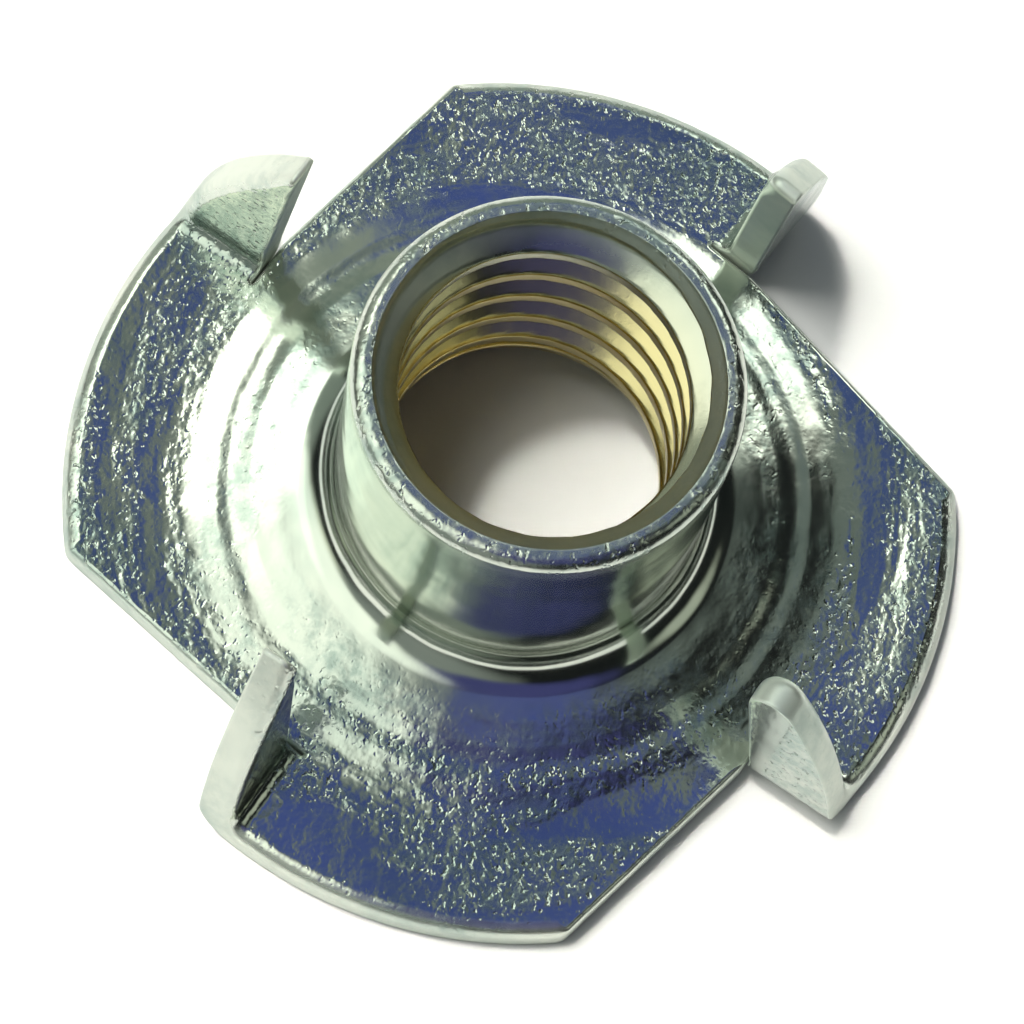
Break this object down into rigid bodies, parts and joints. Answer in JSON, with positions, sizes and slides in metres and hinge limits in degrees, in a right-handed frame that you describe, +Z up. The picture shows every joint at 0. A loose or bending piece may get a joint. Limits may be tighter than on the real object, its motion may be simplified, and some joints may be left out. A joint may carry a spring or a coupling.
{
  "type": "tee nut",
  "caption": "Stamped zinc-plated tee nut: a round flange with a drawn, threaded barrel and sharp prongs folded up from slits in its rim, pressed into wood to take a machine screw.",
  "frame": {"origin": "centre of the flange's underside, on the axis of the barrel, where the nut lies on a surface", "axes": "+Z up along the barrel towards its mouth, +X through the middle of one lobe of the flange, +Y through the next lobe"},
  "size_m": [0.0222, 0.0222, 0.0095],
  "materials": {
    "tee_nut": "bright zinc plate over pressed steel sheet, blue and violet in tint with a fine speckle, slightly golden in the thread"
  },
  "bodies": {
    "root": {"tee_nut": "tee_nut"}
  },
  "joints": []
}
